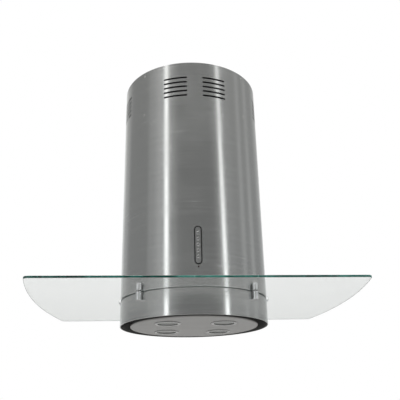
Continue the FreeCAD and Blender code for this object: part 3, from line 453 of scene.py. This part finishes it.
MATERIALS = {
    "brushed_steel": casing_steel(),
    "zinc_steel": zinc_steel(),
    "chrome": polished("chrome", (0.80, 0.81, 0.82), 0.03, 0.000002),
    "bright_steel": polished("bright_steel", (0.62, 0.62, 0.61), 0.20, 0.00002),
    "canopy_glass": canopy_glass(),
    "frosted_glass": frosted_glass(),
    "lamp_glass": lamp_glass(),
    "button_metal": polished("button_metal", (0.66, 0.665, 0.66), 0.17),
    "black_gloss": black_gloss(),
    "indicator_red": indicator_red(),
    "black_plastic": moulded("black_plastic", (0.018, 0.018, 0.019), 0.48),
    "grey_plastic": moulded("grey_plastic", (0.23, 0.235, 0.24), 0.45, grain=900.0),
    "wheel_plastic": moulded("wheel_plastic", (0.035, 0.036, 0.038), 0.40),
    "motor_steel": cast_can("motor_steel", (0.33, 0.34, 0.35), 0.38, 0.8),
    "circuit_green": circuit_board(),
    "clear_rubber": clear_rubber(),
    "black_rubber": moulded("black_rubber", (0.012, 0.012, 0.012), 0.70, grain=700.0, depth=0.00008),
    "aluminium_mesh": brushed("aluminium_mesh", position, (0.70, 0.71, 0.72), 0.34, (300.0, 300.0, 300.0)),
    "aluminium_can": cast_can("aluminium_can", (0.62, 0.63, 0.64), 0.30, 1.0),
    "magnet_dark": moulded("magnet_dark", (0.05, 0.048, 0.046), 0.55, grain=1100.0),
}
OWN_FINISH = {"light_panel": panel_steel_painted_shade(), "control_strip": strip_steel()}
# painted shade: the lamp rings get a dark grey copy of the chrome, in place of the shade and dim reflections
# on them
RING_PAINTED_SHADE = polished("ring_painted_shade", (0.33, 0.33, 0.33), 0.12)


def finish_of(subpart):
    """The sub-part's own finish, or else the one of its material slot."""
    name = subpart["node"]
    if name.startswith("lamp_ring"):
        return RING_PAINTED_SHADE
    return OWN_FINISH.get(name) or MATERIALS[subpart["material_slot"]]


def dress_frame():
    for subpart in frame["record"]["subparts"]:
        mesh = frame["nodes"][subpart["node"]].data
        mesh.materials.clear()
        mesh.materials.append(finish_of(subpart))


# --- grease filter ------------------------------------------------------------------------------
DIAMOND_LONG, DIAMOND_SHORT = 0.0120, 0.0062    # one opening across its corners
STRAND = 0.0009         # strand's thickness
STRAND_WAVE = 0.0004    # how far the strands rise and fall
WEAVE_INSET = 0.0012    # outer layers' middles from the filter mesh's faces
LAYERS = 3


def expanded_layer(bm, radius, middle, turn):
    """Diamond openings of one sheet of expanded metal, strands rising and falling at their joints."""
    columns = int(radius / DIAMOND_LONG * 2) + 1
    rows = int(radius / DIAMOND_SHORT * 2) + 1
    spin = Matrix.Rotation(turn, 3, "Z")
    corners = {}

    def corner(i, j):
        if (i, j) not in corners:
            wave = STRAND_WAVE if (i + j) % 2 else -STRAND_WAVE
            place = spin @ Vector((i * DIAMOND_LONG / 2, j * DIAMOND_SHORT / 2, wave))
            corners[i, j] = bm.verts.new((place.x, place.y, middle + place.z))
        return corners[i, j]

    for i in range(-columns, columns + 1):
        for j in range(-rows, rows + 1):
            reach = math.hypot(i * DIAMOND_LONG / 2, j * DIAMOND_SHORT / 2)
            if (i + j) % 2 == 0 and reach < radius - DIAMOND_LONG / 2:
                bm.faces.new((corner(i + 1, j), corner(i, j + 1), corner(i - 1, j), corner(i, j - 1)))


def make_filter_mesh():
    low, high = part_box("filter_mesh")
    bm = bmesh.new()
    lowest = low.z + WEAVE_INSET
    step = (high.z - low.z - 2 * WEAVE_INSET) / (LAYERS - 1)
    for number in range(LAYERS):
        middle = lowest + number * step
        expanded_layer(bm, high.x, middle, math.radians(60 * number))
    mesh = bpy.data.meshes.new("filter_weave")
    bm.to_mesh(mesh)
    bm.free()
    weave = bpy.data.objects.new("filter_weave", mesh)
    bpy.context.scene.collection.objects.link(weave)
    wire = weave.modifiers.new("strands", "WIREFRAME")
    wire.thickness = STRAND
    wire.use_even_offset = False
    mesh.materials.append(MATERIALS["aluminium_mesh"])
    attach(weave, "hood")
    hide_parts("filter_mesh")


# --- studio -------------------------------------------------------------------------------------
RAISED = math.sin(math.radians(40))    # height of a direction 40 degrees up
# Soft lights round the hood. Each is (azimuth from the front towards the right at the horizon, the same
# 40 degrees up, half width, fade, brightness at the horizon, brightness 40 degrees up), angles in degrees.
STUDIO = (
    (-45.5, -45.5, 1.0, 4.0, 2.3, 1.5),
    (-46.0, -46.0, 6.0, 20.0, 0.20, 0.14),
    (-66.0, -66.0, 10.0, 7.0, 0.20, 0.17),
    (-108.0, -108.0, 22.0, 12.0, 0.10, 0.08),
    (49.5, 43.5, 0.8, 3.0, 3.7, 1.1),
    (50.0, 48.0, 6.0, 16.0, 0.10, 0.08),
    (95.0, 95.0, 30.0, 16.0, 0.16, 0.11),
    (85.0, 85.0, 2.0, 4.0, 0.18, 0.14),
    (106.0, 106.0, 2.0, 5.0, 0.20, 0.14),
    (180.0, 180.0, 40.0, 14.0, 0.25, 0.25),
    (180.0, 180.0, 14.0, 24.0, 0.50, 0.50),
)
ROOM_LOW, ROOM_HIGH = 0.185, 0.235    # brightness of the bare room at those two heights
CEILING = 1.8                         # added straight above, fading between the next two heights
CEILING_FROM, CEILING_FULL = 0.70, 0.95


def make_world():
    """Grey studio with soft upright lights, a bright ceiling, and plain white behind the hood."""
    world = bpy.data.worlds.new("studio")
    bpy.context.scene.world = world
    world.use_nodes = True
    tree = world.node_tree
    tree.nodes.clear()
    direction = add(tree, "TexCoord").outputs["Generated"]
    parts = add(tree, "SeparateXYZ", {0: direction}).outputs
    azimuth = math_node(tree, "ARCTAN2", parts[0], math_node(tree, "MULTIPLY", parts[1], -1.0))
    raised = remap(tree, parts[2], 0.0, RAISED)
    total = remap(tree, raised, 0.0, 1.0, ROOM_LOW, ROOM_HIGH)
    for low_at, high_at, half, fade, low, high in STUDIO:
        centre = remap(tree, raised, 0.0, 1.0, math.radians(low_at), math.radians(high_at))
        offset = math_node(tree, "WRAP", math_node(tree, "SUBTRACT", azimuth, centre), math.pi, -math.pi)
        away = math_node(tree, "ABSOLUTE", offset)
        shape = remap(tree, away, math.radians(half + fade), math.radians(half), smooth=True)
        strength = remap(tree, raised, 0.0, 1.0, low, high)
        total = math_node(tree, "ADD", total, math_node(tree, "MULTIPLY", shape, strength))
    ceiling = remap(tree, parts[2], CEILING_FROM, CEILING_FULL, 0.0, CEILING, smooth=True)
    total = math_node(tree, "ADD", total, ceiling)
    tint = mix_colour(tree, raised, (0.97, 1.0, 1.01), (1.0, 1.0, 0.98))
    room = add(tree, "Background", {"Color": tint, "Strength": total})
    ground = add(tree, "Background", {"Color": (0.35, 0.35, 0.345, 1.0)})
    white = add(tree, "Background", {"Color": (1.0, 1.0, 1.0, 1.0)})
    below = remap(tree, parts[2], 0.0, -0.05, smooth=True)
    lighting = add(tree, "MixShader", {0: below, 1: room.outputs[0], 2: ground.outputs[0]})
    path = add(tree, "LightPath").outputs
    straight = math_node(tree, "MAXIMUM", path["Is Camera Ray"], path["Is Transmission Ray"])
    bounced = math_node(tree, "ADD", path["Glossy Depth"], path["Diffuse Depth"])
    seen = math_node(tree, "MULTIPLY", straight, remap(tree, bounced, 0.0, 1.0, 1.0, 0.0))
    whole = add(tree, "MixShader", {0: seen, 1: lighting.outputs[0], 2: white.outputs[0]})
    output = add(tree, "OutputWorld")
    tree.links.new(whole.outputs[0], output.inputs["Surface"])


def make_floor():
    bm = bmesh.new()
    bmesh.ops.create_circle(bm, cap_ends=True, segments=96, radius=FLOOR_R)
    mesh = bpy.data.meshes.new("floor")
    bm.to_mesh(mesh)
    bm.free()
    floor = bpy.data.objects.new("floor", mesh)
    bpy.context.scene.collection.objects.link(floor)
    floor.location.z = CASING_LOW.z - RIM_ABOVE_FLOOR
    material, tree, shader = new_material("floor_paint")
    place = position(tree)
    mottle = noise(tree, place, 2.5, detail=5.0)
    fine = noise(tree, place, 60.0, detail=4.0)
    tone = mix_colour(tree, mottle, (0.52, 0.52, 0.515), (0.58, 0.58, 0.575))
    connect(
        tree, shader, Base_Color=tone, Roughness=remap(tree, fine, 0.3, 0.7, 0.55, 0.7),
        Normal=bump(tree, fine, 0.0005, 0.2),
    )
    mesh.materials.append(material)


def make_overhead_light():
    """Wide soft light over the hood that shines straight down."""
    light = bpy.data.lights.new("overhead", "AREA")
    light.shape = "RECTANGLE"
    light.size = light.size_y = 4.0
    light.energy = 30.0
    lamp = bpy.data.objects.new("overhead", light)
    bpy.context.scene.collection.objects.link(lamp)
    lamp.location.z = 3.0


# --- camera -------------------------------------------------------------------------------------
CAMERA_PLACE = (-0.1094, -1.6021, -0.9953)
CAMERA_YAW, CAMERA_PITCH, CAMERA_ROLL = 4.799, 21.557, -1.323    # degrees
LENS_MM, SENSOR_MM = 50.02, 36.0


def make_camera():
    """Low in front, a little to the left, looking up at the hood."""
    yaw, pitch, roll = (math.radians(angle) for angle in (CAMERA_YAW, CAMERA_PITCH, CAMERA_ROLL))
    forward = Vector((math.sin(yaw) * math.cos(pitch), math.cos(yaw) * math.cos(pitch), math.sin(pitch)))
    level = Vector((math.cos(yaw), -math.sin(yaw), 0.0))
    upright = level.cross(forward)
    right = level * math.cos(roll) + upright * math.sin(roll)
    up = upright * math.cos(roll) - level * math.sin(roll)
    data = bpy.data.cameras.new("camera")
    data.sensor_width = SENSOR_MM
    data.lens = LENS_MM
    camera = bpy.data.objects.new("camera", data)
    bpy.context.scene.collection.objects.link(camera)
    turn = Matrix((right, up, -forward)).transposed().to_4x4()
    camera.matrix_world = Matrix.Translation(CAMERA_PLACE) @ turn
    bpy.context.scene.camera = camera


dress_frame()
make_filter_mesh()
make_world()
make_floor()
make_overhead_light()
make_camera()
bpy.context.scene.view_settings.view_transform = "Standard"
